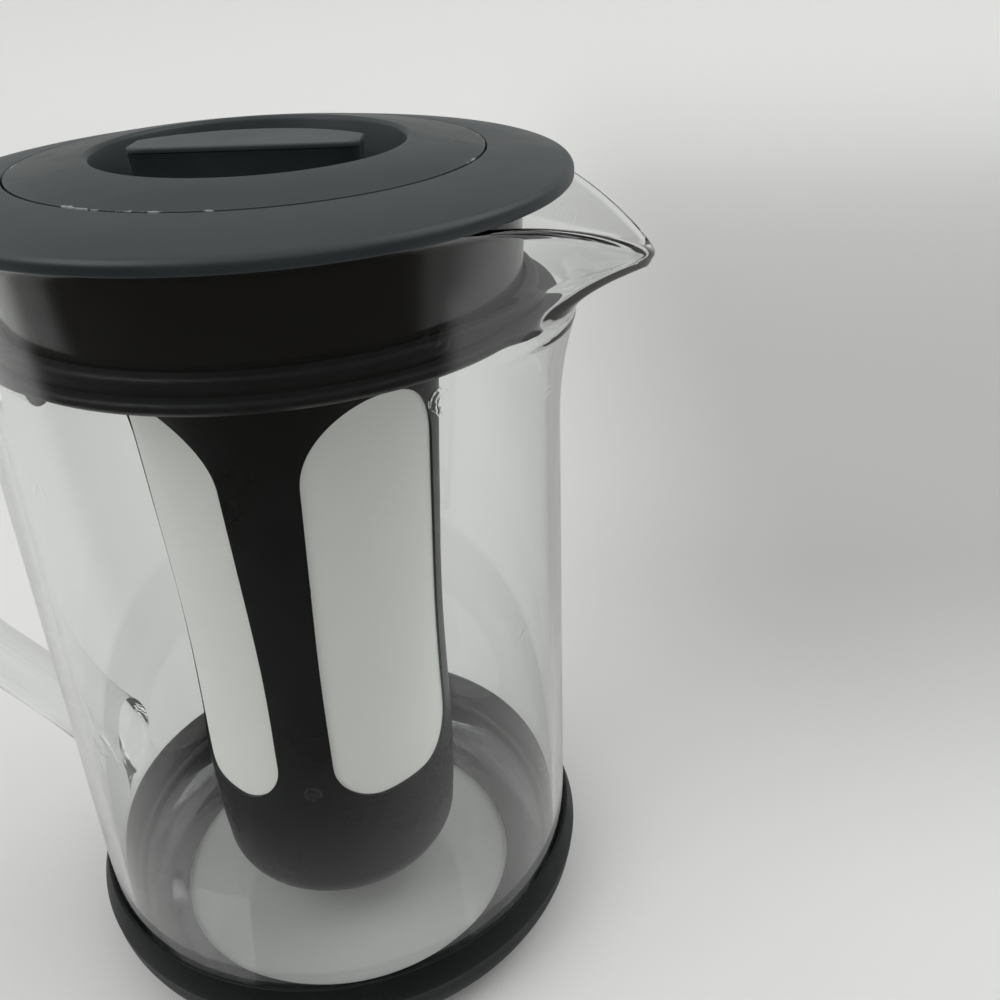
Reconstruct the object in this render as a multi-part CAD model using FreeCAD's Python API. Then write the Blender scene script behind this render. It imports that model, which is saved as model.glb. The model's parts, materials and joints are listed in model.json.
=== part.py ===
import FreeCAD, Part

# Cold brew coffee maker: a glass carafe with a poured spout and a glass rod handle, a silicone boot
# under it, a lid with a recessed grip, and a brew core that hangs from the lid.
# Millimetres, +Z up, the spout along +X. The origin is on the carafe's axis, on the table.
import math
import os

V = FreeCAD.Vector
UP = V(0, 0, 1)
ORIGIN = V(0, 0, 0)

# Clearances
SEAT = 0.2          # flat faces of two pieces that lift or turn on each other
RUNNING = 0.3       # round faces of two pieces that lift or turn in each other
BOOT_FIT = 0.05     # stretched silicone against the glass
CUT_PAST = 1.0      # how far a cut runs past the face that it opens
NO_LENGTH = 1e-6    # anything shorter counts as nothing
LOFT_FIT = 0.001    # how near the lofted neck meets the turned tub

# Carafe glass
GLASS_R = 56.85
GLASS_WALL = 2.6
GLASS_FLOOR = 2.8
GLASS_CORNER = 11.6
BRIM_Z = 175.5

# Spout
LEAN_Z = 126.0        # where the wall starts to lean out under the spout
LEAN_POWER = 2.2
THROAT_Z = 150.0
THROAT_OUT = 3.35     # lean of the wall at the throat
THROAT_NOSE_R = 44.0  # plan radius of the bulge at the throat
KEEL_Z = 158.2        # underside of the spout at its tip
SPOUT_REACH = 17.55   # from the round wall out to the tip at that height
KEEL_POWER = 1.6      # how square the turn from the throat to the keel is
KEEL_NOSE_R = 5.5
LIP_SPREAD = 1.4      # growth of the plan radius with height above the keel
LIP_RAKE = 0.45       # growth of the reach with height above the keel
LIP_ARC_R = 55.0      # side view of the lip: an arc that leaves the brim level
LIP_ARC_START = 18.85 # where the arc leaves the brim, inwards from the round wall
LIP_ARC_RUN = 0.94    # length of the arc along X, as a share of its radius
SPOUT_HALF_ANGLE = 52.0

# Handle
HANDLE_ROD_R = 6.75
HANDLE_AZIMUTH = 174.0
HANDLE_LOW_Z = 37.0
HANDLE_HIGH_Z = 138.0
HANDLE_OUT = 41.15    # from the wall to the middle of the grip run
HANDLE_ELBOW_Z = 74.0
HANDLE_LOW_BEND = 40.0
HANDLE_HIGH_BEND = 26.0
WELD_R = 9.8          # foot of the cone where the rod runs into the wall
WELD_LENGTH = 7.0

# Boot
BOOT_FLOOR = 2.4
BOOT_RING_WIDE = 3.45 # flat of the boot's foot, inwards from the rounded corner
BOOT_RIDGE_Z = 15.0
BOOT_RIDGE_OUT = 2.65
BOOT_TOP_Z = 21.0
BOOT_TOP_WALL = 0.9

# Lid ring, the matte outer ring of the lid
LID_OVERHANG = 2.95
LID_EDGE = 2.7
LID_CHAMFER_IN = 0.7
LID_CHAMFER_DOWN = 0.9
LID_SHELL = 2.2
LID_SEAM_IN = 6.8     # from the collar's wall in to the seam between ring and cap
LID_SEAM_Z = 181.0

# Lid collar, the glossy body under the ring
NECK_GAP = 3.75       # between the top of the collar and the glass
COLLAR_TAPER = 1.3
COLLAR_END_Z = 152.6
COLLAR_WALL = 2.2
NECK_DEPTH = 7.0
LEDGE_BEARING = 4.6   # width of the ledge under the core's rim
LEDGE_THICK = 2.0

# Collar seal
SEAL_BEAD_OUT = 3.2
SEAL_BEAD_Z = 156.4
SEAL_BEAD_HIGH = 3.4
SEAL_LIP_GAP = 0.35
SEAL_LIP_THICK = 1.5
SEAL_WALL = 1.6
SEAL_BEVEL = 0.8
SEAL_ROOT = 0.5       # step between the bead and the lip
SEAL_FOOT = 1.4       # silicone under the end of the collar
SEAL_FOOT_BEVEL = 1.0
LOBE_OUT = 1.95       # past the round inner wall, into the throat of the spout
LOBE_ROOT = 1.5
LOBE_HALF_ANGLE = 30.0
LOBE_EDGE_R = 6.0

# Brew core
CORE_BASE_Z = 13.5
CORE_CORNER = 9.0
CORE_WALL = 1.8
CORE_THROAT_GAP = 0.6 # the core's neck in the ledge of the collar
CORE_SHOULDER = 3.4   # from the neck in to the top of the cage
CORE_LOW_IN = 4.4     # from the top of the cage in to its foot
CORE_SIDE = [(3.5, 40.0), (3.6, 62.0), (3.6, 82.0), (2.5, 108.0), (1.0, 136.0)]  # in from the top, and height
CORE_TOP_Z = 148.0
RIM_GAP = 2.1         # between the core's rim and the seam's radius
RIM_HIGH = 10.5
RIM_WALL = 2.0
RIM_FLANGE_THICK = 1.6
WINDOW_COUNT = 4
WINDOW_WIDE = 32.2
WINDOW_LOW_Z = 46.0
WINDOW_HIGH_Z = 142.0
WINDOW_LOW_CORNER = 11.0
WINDOW_HIGH_CORNER = 15.5
MESH_THICK = 0.35
MESH_INSET = 0.7
NECK_BEVEL = 0.6

# Cap, the turning middle of the lid
CAP_CREST_Z = 183.0
CAP_SHELL = 2.2
BOWL_R = 28.8
BOWL_FLOOR_R = 26.6
BOWL_DEPTH = 13.5
BOWL_CORNER = 2.4
BOWL_EDGE = 1.0
PLUG_WALL = 2.0
PLUG_FLANGE = 2.0
PLUG_BASE_GAP = 2.5
PLUG_TOP_FALL = 1.0
GASKET_HIGH = 2.6
GASKET_DEEP = 1.6
GASKET_BELOW = 3.4
LUG_COUNT = 3
LUG_OUT = 1.4
LUG_ROOT = 0.5
LUG_PLAY = 1.0        # degrees on each side of a lug in its slot
LUG_HIGH = 2.0
LUG_HALF_ANGLE = 9.0
LUG_RISE = 3.2
CAP_TURN = 45.0

# Grip across the bowl
GRIP_LONG = 42.4
GRIP_WIDE = 17.0
GRIP_FAR_BOW = 8.5
GRIP_END_R = 2.8
GRIP_WALL = 1.8
GRIP_FLARE = 1.5
GRIP_COVER_THICK = 1.0
GRIP_OVER_CREST = 1.0

# Worked out from the sizes above
glass_in_r = GLASS_R - GLASS_WALL
collar_top_r = glass_in_r - NECK_GAP
collar_end_r = collar_top_r - COLLAR_TAPER
lid_r = GLASS_R + LID_OVERHANG
lid_seam_r = collar_top_r - LID_SEAM_IN
rim_out_r = lid_seam_r - RIM_GAP
rim_in_r = rim_out_r - RIM_WALL
ledge_in_r = rim_out_r - LEDGE_BEARING
core_neck_r = ledge_in_r - CORE_THROAT_GAP
core_top_r = core_neck_r - CORE_SHOULDER
core_low_r = core_top_r - CORE_LOW_IN
glass_base_z = BOOT_FLOOR
glass_floor_z = glass_base_z + GLASS_FLOOR
corner_z = glass_base_z + GLASS_CORNER
corner_x = GLASS_R - GLASS_CORNER
boot_hole_r = corner_x - BOOT_RING_WIDE
throat_r = GLASS_R + THROAT_OUT
keel_r = GLASS_R + SPOUT_REACH
lip_arc_x = GLASS_R - LIP_ARC_START
handle_reach = GLASS_R + HANDLE_OUT
lid_base_z = BRIM_Z + SEAT
lid_rim_z = lid_base_z + LID_EDGE
lid_top = [(lid_r - LID_CHAMFER_IN, lid_rim_z), (lid_r, lid_rim_z - LID_CHAMFER_DOWN)]
cap_r = lid_seam_r - RUNNING
cap_seam_z = LID_SEAM_Z
ledge_z = COLLAR_END_Z + LEDGE_THICK
rim_base_z = ledge_z + SEAT
rim_top_z = rim_base_z + RIM_HIGH
plug_skirt_r = rim_in_r - RUNNING
plug_base_z = rim_base_z + PLUG_BASE_GAP
lug_z = rim_base_z + LUG_RISE + RUNNING
bowl_floor_z = CAP_CREST_Z - BOWL_DEPTH
grip_top_z = CAP_CREST_Z + GRIP_OVER_CREST


def at(r, z):
    """A point of a profile, in the XZ plane."""
    return V(r, 0, z)


def face_of(edges):
    return Part.Face(Part.Wire(edges))


def polygon(points):
    """Closed face through points (r, z)."""
    corners = [at(*p) for p in points]
    return Part.Face(Part.makePolygon(corners + corners[:1]))


def turned(face):
    """Solid of revolution about the carafe's axis."""
    return face.revolve(ORIGIN, UP, 360)


def arc(a, middle, b):
    return Part.Arc(at(*a), at(*middle), at(*b)).toShape()


def line(a, b):
    return Part.LineSegment(at(*a), at(*b)).toShape()


def corner_point(cx, cz, radius, degrees):
    angle = math.radians(degrees)
    return (cx + radius * math.cos(angle), cz + radius * math.sin(angle))


def tub(radius, base_z, corner, top_z):
    """Solid round tub with a rounded bottom edge."""
    cx = radius - corner
    cz = base_z + corner
    edges = [
        line((0, base_z), (cx, base_z)),
        arc((cx, base_z), corner_point(cx, cz, corner, -45), (radius, cz)),
        line((radius, cz), (radius, top_z)),
        line((radius, top_z), (0, top_z)),
        line((0, top_z), (0, base_z)),
    ]
    return turned(face_of(edges))


def hull_radius(radius, nose, nose_r, azimuth):
    """Polar radius of a circle drawn out to a rounded nose on +X, at an azimuth in degrees."""
    centre = nose - nose_r
    if nose <= radius + 0.001:
        return radius
    tangent = math.acos((radius - nose_r) / centre)
    phi = math.radians(abs(azimuth))
    nose_phi = math.atan2(nose_r * math.sin(tangent), centre + nose_r * math.cos(tangent))
    if phi >= tangent:
        return radius
    if phi >= nose_phi:
        return radius / math.cos(tangent - phi)
    return centre * math.cos(phi) + math.sqrt(nose_r ** 2 - (centre * math.sin(phi)) ** 2)


def section_azimuths():
    """Azimuths of a section's points, closer together at the nose."""
    near = [0, 1, 2, 3, 4.5, 6, 8, 10.5, 13.5, 17, 21]
    side = near + [25 + 5 * i for i in range(31)]
    return side + [180] + [360 - a for a in reversed(side) if a > 0]


def section_wire(radius, nose, nose_r, z):
    azimuths = section_azimuths()
    points = []
    for azimuth in azimuths:
        signed = azimuth if azimuth <= 180 else azimuth - 360
        r = hull_radius(radius, nose, nose_r, signed)
        angle = math.radians(azimuth)
        points.append(V(r * math.cos(angle), r * math.sin(angle), z))
    curve = Part.BSplineCurve()
    curve.interpolate(Points=points, PeriodicFlag=True, Parameters=[a / 360.0 for a in azimuths + [360]])
    return Part.Wire([curve.toShape()])


def keel_at_share(share):
    """Nose reach, height and plan radius between the throat (0) and the tip of the keel (1)."""
    back = (1 - share ** KEEL_POWER) ** (1 / KEEL_POWER)
    reach = keel_r - (keel_r - throat_r) * back
    nose_r = KEEL_NOSE_R + (THROAT_NOSE_R - KEEL_NOSE_R) * back
    return reach, THROAT_Z + (KEEL_Z - THROAT_Z) * share, nose_r


def spout_sections():
    """Nose reach, height and plan radius of the spout's outside, from the plain wall to the brim."""
    rows = []
    for i in range(6):
        share = i / 6
        z = LEAN_Z + (THROAT_Z - LEAN_Z) * share
        rows.append((GLASS_R + THROAT_OUT * share ** LEAN_POWER, z, THROAT_NOSE_R))
    rows += [keel_at_share(share) for share in (0, 0.25, 0.45, 0.62, 0.76, 0.88, 0.96)]
    high = BRIM_Z - KEEL_Z
    for i in range(7):
        rise = 0.2 + (high - 0.2) * i / 6
        rows.append((keel_r + LIP_RAKE * rise, KEEL_Z + rise, KEEL_NOSE_R + LIP_SPREAD * rise))
    return rows


def inside_sections(rows):
    """The same sections one wall further in, measured square to the spout's side view."""
    inner = []
    for i, (reach, z, nose_r) in enumerate(rows):
        before = rows[max(i - 1, 0)]
        after = rows[min(i + 1, len(rows) - 1)]
        out = after[0] - before[0]
        rise = after[1] - before[1]
        length = math.hypot(out, rise)
        moved = (reach - GLASS_WALL * rise / length, z + GLASS_WALL * out / length,
                 max(nose_r - GLASS_WALL, KEEL_NOSE_R - GLASS_WALL))
        if not inner or moved[1] > inner[-1][1] + 0.5:
            inner.append(moved)
    last = inner[-1]
    inner.append((last[0] + LIP_RAKE * 4, last[1] + 4, last[2] + LIP_SPREAD * 4))
    return inner


def loft(radius, rows):
    wires = [section_wire(radius, reach, nose_r, z) for reach, z, nose_r in rows]
    return Part.makeLoft(wires, True, False)


def lip_cutter():
    """All that lies above the arc of the lip, seen from the side."""
    far_x = lip_arc_x + LIP_ARC_R * LIP_ARC_RUN
    centre_z = BRIM_Z - LIP_ARC_R
    far_z = centre_z + math.sqrt(LIP_ARC_R ** 2 - (far_x - lip_arc_x) ** 2)
    middle = corner_point(lip_arc_x, centre_z, LIP_ARC_R, math.degrees(math.acos(LIP_ARC_RUN / 2)))
    above = BRIM_Z + LIP_ARC_R
    edges = [
        arc((lip_arc_x, BRIM_Z), middle, (far_x, far_z)),
        line((far_x, far_z), (far_x, above)),
        line((far_x, above), (lip_arc_x, above)),
        line((lip_arc_x, above), (lip_arc_x, BRIM_Z)),
    ]
    plate = face_of(edges)
    plate.translate(V(0, -GLASS_R * 1.5, 0))
    return plate.extrude(V(0, GLASS_R * 3, 0))


def make_glass():
    """The whole glass: tub, leaning neck and spout."""
    rows = spout_sections()
    outside = tub(GLASS_R, glass_base_z, GLASS_CORNER, LEAN_Z).fuse(loft(GLASS_R, rows), LOFT_FIT)
    inner_rows = inside_sections(rows)
    inner_corner = GLASS_CORNER - GLASS_WALL
    hollow = tub(glass_in_r, glass_floor_z, inner_corner, inner_rows[0][1])
    hollow = hollow.fuse(loft(glass_in_r, inner_rows), LOFT_FIT)
    return outside.cut(hollow).cut(lip_cutter())


def spout_sector():
    """Wedge about the axis that holds the spout, from where the wall starts to lean."""
    wedge = Part.makeCylinder(keel_r * 2, BRIM_Z, V(0, 0, LEAN_Z), UP, 2 * SPOUT_HALF_ANGLE)
    wedge.rotate(ORIGIN, UP, -SPOUT_HALF_ANGLE)
    return wedge


def make_carafe_glass(glass):
    """Tub and neck, without the sector of the spout."""
    return glass.cut(spout_sector())


def make_carafe_spout(glass):
    return glass.common(spout_sector())


def handle_plane(distance, z):
    """A point of the handle's plane: distance from the axis, away from the spout."""
    angle = math.radians(HANDLE_AZIMUTH)
    return V(distance * math.cos(angle), distance * math.sin(angle), z)


def rounded_path(corners, radii):
    """Straight runs joined by tangent arcs."""
    edges = []
    start = corners[0]
    for corner, radius, after in zip(corners[1:-1], radii, corners[2:]):
        back = (start - corner).normalize()
        on = (after - corner).normalize()
        half = math.acos(max(-1, min(1, back.dot(on)))) / 2
        trim = radius / math.tan(half)
        enter = corner + back * trim
        leave = corner + on * trim
        bisector = (back + on).normalize()
        middle = corner + bisector * (radius / math.sin(half) - radius)
        edges.append(Part.LineSegment(start, enter).toShape())
        edges.append(Part.Arc(enter, middle, leave).toShape())
        start = leave
    edges.append(Part.LineSegment(start, corners[-1]).toShape())
    return Part.Wire(edges)


def make_handle_rod():
    low_inside = GLASS_R - HANDLE_ROD_R
    slope = (HANDLE_ELBOW_Z - HANDLE_LOW_Z) / (handle_reach - GLASS_R)
    low_end = handle_plane(low_inside, HANDLE_LOW_Z - slope * HANDLE_ROD_R)
    corners = [low_end, handle_plane(handle_reach, HANDLE_ELBOW_Z),
               handle_plane(handle_reach, HANDLE_HIGH_Z), handle_plane(low_inside, HANDLE_HIGH_Z)]
    path = rounded_path(corners, [HANDLE_LOW_BEND, HANDLE_HIGH_BEND])
    way = (corners[1] - corners[0]).normalize()
    disc = Part.Wire([Part.makeCircle(HANDLE_ROD_R, corners[0], way)])
    rod = path.makePipeShell([disc], True, False)
    high_way = handle_plane(1, 0).normalize()
    for end, direction in ((corners[0], way), (corners[3], high_way)):
        weld = Part.makeCone(WELD_R, HANDLE_ROD_R, HANDLE_ROD_R + WELD_LENGTH, end, direction)
        rod = rod.fuse(weld)
    return rod.cut(Part.makeCylinder(GLASS_R, BRIM_Z))


def make_base_boot():
    outer_corner = GLASS_CORNER + BOOT_FLOOR
    inner_r = GLASS_R + BOOT_FIT
    ridge_r = GLASS_R + BOOT_RIDGE_OUT
    top_r = inner_r + BOOT_TOP_WALL
    edges = [
        line((boot_hole_r, 0), (corner_x, 0)),
        arc((corner_x, 0), corner_point(corner_x, outer_corner, outer_corner, -45),
            (corner_x + outer_corner, corner_z)),
        line((corner_x + outer_corner, corner_z), (ridge_r, BOOT_RIDGE_Z)),
        line((ridge_r, BOOT_RIDGE_Z), (top_r, BOOT_TOP_Z)),
        line((top_r, BOOT_TOP_Z), (inner_r, BOOT_TOP_Z)),
        line((inner_r, BOOT_TOP_Z), (inner_r, corner_z)),
        arc((inner_r, corner_z), corner_point(corner_x, corner_z, inner_r - corner_x, -45),
            (corner_x, glass_base_z - BOOT_FIT)),
        line((corner_x, glass_base_z - BOOT_FIT), (boot_hole_r, glass_base_z - BOOT_FIT)),
        line((boot_hole_r, glass_base_z - BOOT_FIT), (boot_hole_r, 0)),
    ]
    return turned(face_of(edges))


def lid_underside(r):
    """Height of the ring's inner face, one shell under its sloping top."""
    edge_r, edge_z = lid_top[0]
    slope = (LID_SEAM_Z - edge_z) / (edge_r - lid_seam_r)
    return edge_z + slope * (edge_r - r) - LID_SHELL


def make_lid_ring():
    points = [
        (lid_seam_r, LID_SEAM_Z), lid_top[0], lid_top[1], (lid_r, lid_base_z),
        (collar_top_r, lid_base_z), (collar_top_r, lid_underside(collar_top_r)),
        (lid_seam_r, lid_underside(lid_seam_r)),
    ]
    return turned(polygon(points))


def collar_outer_r(z):
    share = (lid_base_z - z) / (lid_base_z - COLLAR_END_Z)
    return collar_top_r + (collar_end_r - collar_top_r) * share


def make_lid_collar():
    neck_end_z = lid_base_z - NECK_DEPTH
    inside_top_r = collar_top_r - COLLAR_WALL
    inside_end_r = collar_outer_r(ledge_z) - COLLAR_WALL
    points = [
        (lid_seam_r, lid_underside(lid_seam_r)), (collar_top_r, lid_underside(collar_top_r)),
        (collar_top_r, lid_base_z), (collar_end_r, COLLAR_END_Z),
        (ledge_in_r, COLLAR_END_Z), (ledge_in_r, ledge_z), (inside_end_r, ledge_z),
        (inside_top_r, neck_end_z), (lid_seam_r, neck_end_z),
    ]
    return turned(polygon(points))


def uprights(solid):
    """The straight edges that run along Z."""
    found = []
    for edge in solid.Edges:
        way = edge.Vertexes[-1].Point - edge.Vertexes[0].Point
        if way.Length > NO_LENGTH and math.hypot(way.x, way.y) < NO_LENGTH:
            found.append(edge)
    return found


def lobe_sector(radius, low_z, high_z):
    """Upright block over the lobe's arc, with its corners rounded off."""
    half = math.radians(LOBE_HALF_ANGLE)
    inner = collar_end_r
    a = V(inner * math.cos(half), -inner * math.sin(half), low_z)
    b = V(radius * math.cos(half), -radius * math.sin(half), low_z)
    c = V(radius * math.cos(half), radius * math.sin(half), low_z)
    d = V(inner * math.cos(half), inner * math.sin(half), low_z)
    rim = Part.Arc(b, V(radius, 0, low_z), c).toShape()
    back = Part.Arc(d, V(inner, 0, low_z), a).toShape()
    sides = [Part.LineSegment(a, b).toShape(), rim, Part.LineSegment(c, d).toShape(), back]
    block = Part.Face(Part.Wire(sides)).extrude(V(0, 0, high_z - low_z))
    middle_r = (radius + inner) / 2
    outer_edges = [e for e in uprights(block) if math.hypot(*e.Vertexes[0].Point[:2]) > middle_r]
    return block.makeFillet(LOBE_EDGE_R, outer_edges)


def make_collar_seal():
    """Silicone ring round the end of the collar: a bead, a wiping lip and a lobe towards the spout."""
    lip_r = glass_in_r - SEAL_LIP_GAP
    lip_z = COLLAR_END_Z
    lip_top_z = lip_z + SEAL_LIP_THICK
    bead_r = collar_end_r + SEAL_BEAD_OUT
    bead_top = SEAL_BEAD_Z + SEAL_BEAD_HIGH / 2
    bead_low = SEAL_BEAD_Z - SEAL_BEAD_HIGH / 2
    hold_r = collar_end_r - SEAL_WALL
    points = [
        (collar_outer_r(bead_top), bead_top), (bead_r - SEAL_BEVEL, bead_top), (bead_r, bead_top - SEAL_BEVEL),
        (bead_r, bead_low + SEAL_ROOT), (bead_r - SEAL_ROOT, lip_top_z + SEAL_ROOT),
        (lip_r, lip_top_z), (lip_r, lip_z), (bead_r - SEAL_FOOT_BEVEL, lip_z - SEAL_FOOT),
        (hold_r, lip_z - SEAL_FOOT), (hold_r, COLLAR_END_Z), (collar_end_r, COLLAR_END_Z),
    ]
    ring = turned(polygon(points))
    lobe = lobe_sector(glass_in_r + LOBE_OUT, lip_z, lip_top_z)
    root_r = collar_end_r + LOBE_ROOT
    keep_out = turned(polygon([(0, 0), (root_r, 0), (root_r, BRIM_Z), (0, BRIM_Z)]))
    return ring.fuse(lobe.cut(keep_out)).removeSplitter()


def core_blank(inset, top_z):
    """The core's outer form moved in by inset, as a solid up to a height."""
    flat_r = core_low_r - CORE_CORNER
    base_z = CORE_BASE_Z + inset
    turn_z = CORE_BASE_Z + CORE_CORNER
    corner = CORE_CORNER - inset
    knee = corner_point(flat_r, turn_z, corner, -45)
    waist = [(core_top_r - inward, z) for inward, z in CORE_SIDE]
    side = [(core_low_r, turn_z)] + waist + [(core_top_r, CORE_TOP_Z)]
    curve = Part.BSplineCurve()
    curve.interpolate([at(r - inset, z) for r, z in side])
    last = (core_top_r - inset, CORE_TOP_Z)
    bend = arc((flat_r, base_z), knee, (core_low_r - inset, turn_z))
    edges = [line((0, base_z), (flat_r, base_z)), bend, curve.toShape()]
    if top_z > CORE_TOP_Z:
        edges.append(line(last, (last[0], top_z)))
    edges += [line((last[0], top_z), (0, top_z)), line((0, top_z), (0, base_z))]
    return turned(face_of(edges))


def window_prism(index):
    """Upright rounded opening, cut straight out from the axis."""
    half = WINDOW_WIDE / 2
    low_r, high_r = WINDOW_LOW_CORNER, WINDOW_HIGH_CORNER
    corners = [
        (half - low_r, WINDOW_LOW_Z + low_r, low_r, -90),
        (half - high_r, WINDOW_HIGH_Z - high_r, high_r, 0),
        (high_r - half, WINDOW_HIGH_Z - high_r, high_r, 90),
        (low_r - half, WINDOW_LOW_Z + low_r, low_r, 180),
    ]
    edges = []
    before = corner_point(*corners[-1][:3], 270)
    for across, up, radius, start in corners:
        first, middle, last = [corner_point(across, up, radius, start + turn) for turn in (0, 45, 90)]
        edges += [line(before, first), arc(first, middle, last)]
        before = last
    opening = face_of(edges)
    opening.rotate(ORIGIN, UP, 90)
    prism = opening.extrude(V(collar_top_r, 0, 0))
    prism.translate(V(WINDOW_WIDE / 4, 0, 0))
    step = 360.0 / WINDOW_COUNT
    prism.rotate(ORIGIN, UP, step * (index + 0.5))
    return prism


def ring_sector(in_r, out_r, low_z, high_z, start, end):
    """Part of a ring between two azimuths in degrees."""
    ring = polygon([(in_r, low_z), (out_r, low_z), (out_r, high_z), (in_r, high_z)])
    ring.rotate(ORIGIN, UP, start)
    return ring.revolve(ORIGIN, UP, end - start)


def make_core_frame():
    """Moulded cage with its floor, rim flange and bayonet rim."""
    shell = core_blank(0, CORE_TOP_Z).cut(core_blank(CORE_WALL, CORE_TOP_Z + CUT_PAST))
    flange_z = rim_base_z + RIM_FLANGE_THICK
    neck_in_r = core_neck_r - CORE_WALL
    shoulder = [
        (core_top_r - CORE_WALL, CORE_TOP_Z), (core_top_r, CORE_TOP_Z),
        (core_neck_r, COLLAR_END_Z), (core_neck_r, rim_base_z),
        (rim_out_r, rim_base_z), (rim_out_r, rim_top_z), (rim_in_r, rim_top_z),
        (rim_in_r, flange_z), (neck_in_r, flange_z), (neck_in_r, COLLAR_END_Z + NECK_BEVEL),
    ]
    frame = shell.fuse(turned(polygon(shoulder)))
    for i in range(WINDOW_COUNT):
        frame = frame.cut(window_prism(i))
    pitch = 360.0 / LUG_COUNT
    low = lug_z - RUNNING
    high = lug_z + LUG_HIGH + RUNNING
    for i in range(LUG_COUNT):
        middle = pitch * i + pitch / 2
        start = middle - LUG_HALF_ANGLE - LUG_PLAY
        end = middle + LUG_HALF_ANGLE + CAP_TURN + LUG_PLAY
        mouth = end - 2 * (LUG_HALF_ANGLE + LUG_PLAY)
        inner, outer = rim_in_r - CUT_PAST, rim_out_r + CUT_PAST
        frame = frame.cut(ring_sector(inner, outer, low, high, start, end))
        frame = frame.cut(ring_sector(inner, outer, low, rim_top_z + CUT_PAST, mouth, end))
    return frame.removeSplitter()


def make_mesh_panel(index):
    """Fine filter mesh across one opening, held in the middle of the frame's wall."""
    layer = core_blank(MESH_INSET, CORE_TOP_Z).cut(core_blank(MESH_INSET + MESH_THICK, CORE_TOP_Z + CUT_PAST))
    return layer.common(window_prism(index))


def make_cap_cover():
    """Matte middle of the lid with its bowl, one moulding."""
    wall = CAP_SHELL
    floor_low = bowl_floor_z - wall
    corner = BOWL_CORNER
    inner_turn = (BOWL_FLOOR_R, bowl_floor_z + corner)
    outer_turn = (BOWL_FLOOR_R + wall, bowl_floor_z + corner)
    edges = [
        line((0, bowl_floor_z), (BOWL_FLOOR_R - corner, bowl_floor_z)),
        arc((BOWL_FLOOR_R - corner, bowl_floor_z),
            corner_point(BOWL_FLOOR_R - corner, bowl_floor_z + corner, corner, -45), inner_turn),
        line(inner_turn, (BOWL_R, CAP_CREST_Z - BOWL_EDGE)),
        line((BOWL_R, CAP_CREST_Z - BOWL_EDGE), (BOWL_R + BOWL_EDGE, CAP_CREST_Z)),
        line((BOWL_R + BOWL_EDGE, CAP_CREST_Z), (cap_r, cap_seam_z)),
        line((cap_r, cap_seam_z), (cap_r, cap_seam_z - wall)),
        line((cap_r, cap_seam_z - wall), (BOWL_R + wall, CAP_CREST_Z - wall)),
        line((BOWL_R + wall, CAP_CREST_Z - wall), outer_turn),
        arc(outer_turn, corner_point(BOWL_FLOOR_R - corner, bowl_floor_z + corner, corner + wall, -45),
            (BOWL_FLOOR_R - corner, floor_low)),
        line((BOWL_FLOOR_R - corner, floor_low), (0, floor_low)),
        line((0, floor_low), (0, bowl_floor_z)),
    ]
    return turned(face_of(edges))


def make_cap_plug():
    """Body under the cap cover: a flange, a gasket groove, a skirt and the bayonet lugs."""
    top_z = cap_seam_z - CAP_SHELL
    groove_high = top_z - GASKET_BELOW
    groove_low = groove_high - GASKET_HIGH
    groove_r = cap_r - GASKET_DEEP
    shoulder_z = groove_low - PLUG_FLANGE
    points = [
        (cap_r, top_z), (cap_r, groove_high), (groove_r, groove_high), (groove_r, groove_low),
        (cap_r, groove_low), (cap_r, shoulder_z), (plug_skirt_r, shoulder_z), (plug_skirt_r, plug_base_z),
        (plug_skirt_r - PLUG_WALL, plug_base_z), (plug_skirt_r - PLUG_WALL, shoulder_z + PLUG_FLANGE),
        (cap_r - PLUG_WALL - GASKET_DEEP, top_z - PLUG_TOP_FALL),
    ]
    plug = turned(polygon(points))
    pitch = 360.0 / LUG_COUNT
    for i in range(LUG_COUNT):
        middle = pitch * i + pitch / 2
        lug = ring_sector(plug_skirt_r - LUG_ROOT, plug_skirt_r + LUG_OUT, lug_z, lug_z + LUG_HIGH,
                          middle - LUG_HALF_ANGLE, middle + LUG_HALF_ANGLE)
        plug = plug.fuse(lug)
    return plug.removeSplitter()


def make_cap_gasket():
    top_z = cap_seam_z - CAP_SHELL - GASKET_BELOW
    low_z = top_z - GASKET_HIGH
    in_r = cap_r - GASKET_DEEP
    return turned(polygon([(in_r, low_z), (cap_r, low_z), (cap_r, top_z), (in_r, top_z)]))


def grip_wire(grow, z):
    """Plan of the grip: a straight near side and a bowed far side, grown by an amount."""
    half = GRIP_LONG / 2 + grow
    near = -GRIP_WIDE / 2 - grow
    far_middle = GRIP_WIDE / 2 + grow
    far_end = near + (GRIP_WIDE - GRIP_FAR_BOW) + grow
    a, b = V(-half, near, z), V(half, near, z)
    c, d = V(half, far_end, z), V(-half, far_end, z)
    far = Part.Arc(c, V(0, far_middle, z), d).toShape()
    edges = [Part.LineSegment(a, b).toShape(), Part.LineSegment(b, c).toShape(), far,
             Part.LineSegment(d, a).toShape()]
    return Part.Wire(edges)


def grip_block(grow, low_z, high_z, corner):
    block = Part.Face(grip_wire(grow, low_z)).extrude(V(0, 0, high_z - low_z))
    return block.makeFillet(corner, uprights(block))


def make_grip_bar():
    """Hollow bar that stands on the bowl's floor, with a small flare at its foot."""
    top_z = grip_top_z - GRIP_COVER_THICK
    body = grip_block(0, bowl_floor_z, top_z, GRIP_END_R)
    foot = grip_block(GRIP_FLARE, bowl_floor_z, bowl_floor_z + GRIP_FLARE, GRIP_END_R + GRIP_FLARE)
    hollow = grip_block(-GRIP_WALL, bowl_floor_z + GRIP_WALL, top_z + CUT_PAST, GRIP_END_R - GRIP_WALL)
    return body.fuse(foot).cut(hollow).removeSplitter()


def make_grip_cover():
    """Bare plate that closes the grip's top."""
    return grip_block(0, grip_top_z - GRIP_COVER_THICK, grip_top_z, GRIP_END_R)


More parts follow.
